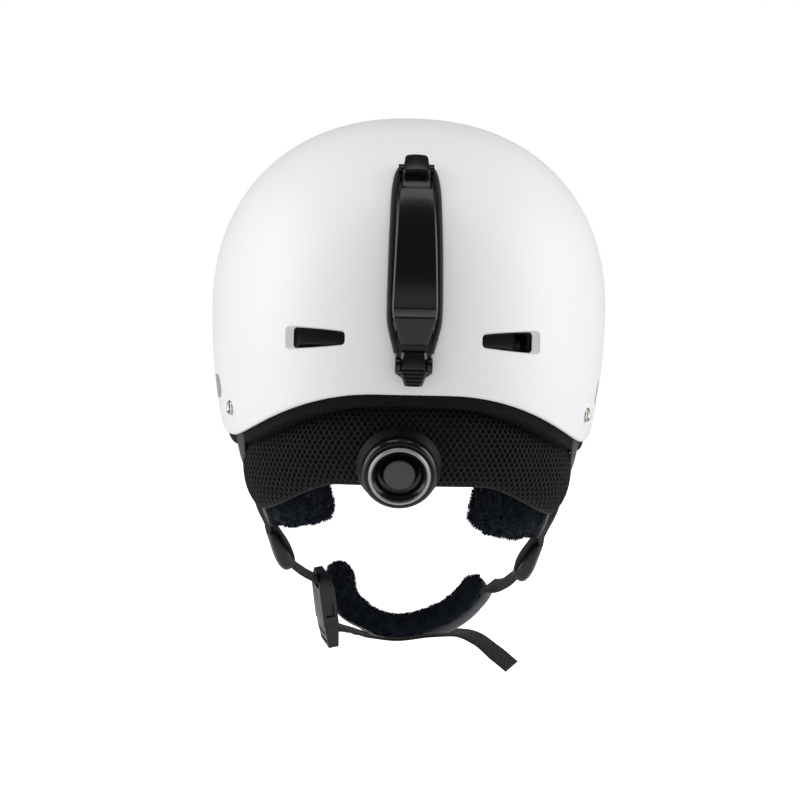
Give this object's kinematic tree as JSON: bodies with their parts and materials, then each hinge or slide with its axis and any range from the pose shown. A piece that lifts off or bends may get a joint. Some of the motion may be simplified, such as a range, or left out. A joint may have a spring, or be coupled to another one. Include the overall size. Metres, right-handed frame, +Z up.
{
  "type": "ski helmet",
  "caption": "Ski helmet with a hard shell over a foam liner, dial fit system, hinged goggle clip, fleece ear pads and a chin strap with a side-release buckle.",
  "frame": {"origin": "centre of the head opening, level with the nape edge of the shell, where a head holds the helmet", "axes": "+Z up to the crown, +Y the wearer's forward, +X the wearer's right"},
  "size_m": [0.222, 0.2821, 0.3185],
  "materials": {
    "shell_white": "matte painted moulding",
    "foam": "bead foam, moulded skin",
    "rivet_metal": "plated hollow rivet",
    "liner_fabric": "brushed knit",
    "clip_black": "moulded glossy nylon",
    "screw_steel": "plated steel",
    "elastic": "covered elastic",
    "air_mesh": "spacer mesh with open cells",
    "fit_black": "moulded nylon",
    "acetal": "moulded acetal",
    "dial_dark": "moulded soft-touch plastic",
    "dial_silver": "satin silver ring",
    "dial_cap_grey": "satin grey disc",
    "fleece": "deep pile fleece",
    "ear_cloth": "smooth stretch cloth",
    "webbing": "woven flat webbing",
    "buckle_black": "moulded glossy nylon",
    "backing_grey": "smooth bonded cloth"
  },
  "bodies": {
    "root": {"outer_shell": "shell_white", "foam_liner": "foam", "strap_rivets": "rivet_metal", "crown_pad": "liner_fabric", "brow_pad": "liner_fabric", "side_pads": "liner_fabric", "clip_base": "clip_black", "clip_screws": "screw_steel", "clip_arm_pin": "screw_steel", "clip_latch_pin": "screw_steel", "clip_elastic_loop": "elastic", "neck_roll": "air_mesh", "dial_housing": "fit_black", "dial_back_plate": "fit_black", "headband_left": "fit_black", "headband_right": "fit_black", "ear_pad_left": "fleece", "ear_pad_right": "fleece", "ear_cover_left": "ear_cloth", "ear_cover_right": "ear_cloth", "ear_snaps": "fit_black", "web_rear_left": "webbing", "web_front_left": "webbing", "web_rear_right": "webbing", "web_front_right": "webbing", "buckle_socket": "buckle_black", "chin_web": "webbing", "chin_pad": "fleece", "chin_pad_backing": "backing_grey"},
    "dial": {"dial_pinion": "acetal", "dial_knob": "dial_dark", "dial_ring": "dial_silver", "dial_cap": "dial_cap_grey", "dial_screw": "screw_steel"},
    "rack_left_body": {"rack_left": "acetal"},
    "rack_right_body": {"rack_right": "acetal"},
    "goggle_arm": {"clip_arm": "clip_black"},
    "goggle_latch": {"clip_latch": "clip_black"},
    "plug": {"buckle_plug": "buckle_black"},
    "slider_left": {"divider_left": "buckle_black"},
    "slider_right": {"divider_right": "buckle_black"}
  },
  "joints": [
    {"name": "dial_turn", "type": "hinge", "parent": "root", "child": "dial", "pos_m": [-0.006, -0.11514, -0.036], "axis": [0, -0.9135, -0.4067], "range_deg": [-110, 110]},
    {"name": "rack_left_slide", "type": "slide", "parent": "root", "child": "rack_left_body", "axis": [-1, 0, 0], "range_m": [-0.0078, 0.0078], "deforming": ["headband_left"]},
    {"name": "rack_right_slide", "type": "slide", "parent": "root", "child": "rack_right_body", "axis": [1, 0, 0], "range_m": [-0.0078, 0.0078], "deforming": ["headband_right"]},
    {"name": "goggle_arm_hinge", "type": "hinge", "parent": "root", "child": "goggle_arm", "pos_m": [0, -0.10949, 0.12881], "axis": [-1, 0, 0], "range_deg": [0, 50]},
    {"name": "goggle_latch_hinge", "type": "hinge", "parent": "root", "child": "goggle_latch", "pos_m": [0, -0.13954, 0.01818], "axis": [-1, 0, 0], "range_deg": [0, 18]},
    {"name": "buckle_release", "type": "slide", "parent": "root", "child": "plug", "axis": [0.1336, 0.2915, -0.9472], "range_m": [0, 0.025], "deforming": ["chin_web"]},
    {"name": "divider_left_slide", "type": "slide", "parent": "root", "child": "slider_left", "axis": [0.4319, 0.2592, -0.8639], "range_m": [-0.004, 0.004], "deforming": ["web_rear_left", "web_front_left"]},
    {"name": "divider_right_slide", "type": "slide", "parent": "root", "child": "slider_right", "axis": [-0.4319, 0.2592, -0.8639], "range_m": [-0.004, 0.004], "deforming": ["web_rear_right", "web_front_right"]}
  ],
  "couplings": [
    {"joint": "rack_left_slide", "follows": "dial_turn", "m_per_rad": 0.004},
    {"joint": "rack_right_slide", "follows": "dial_turn", "m_per_rad": 0.004}
  ]
}
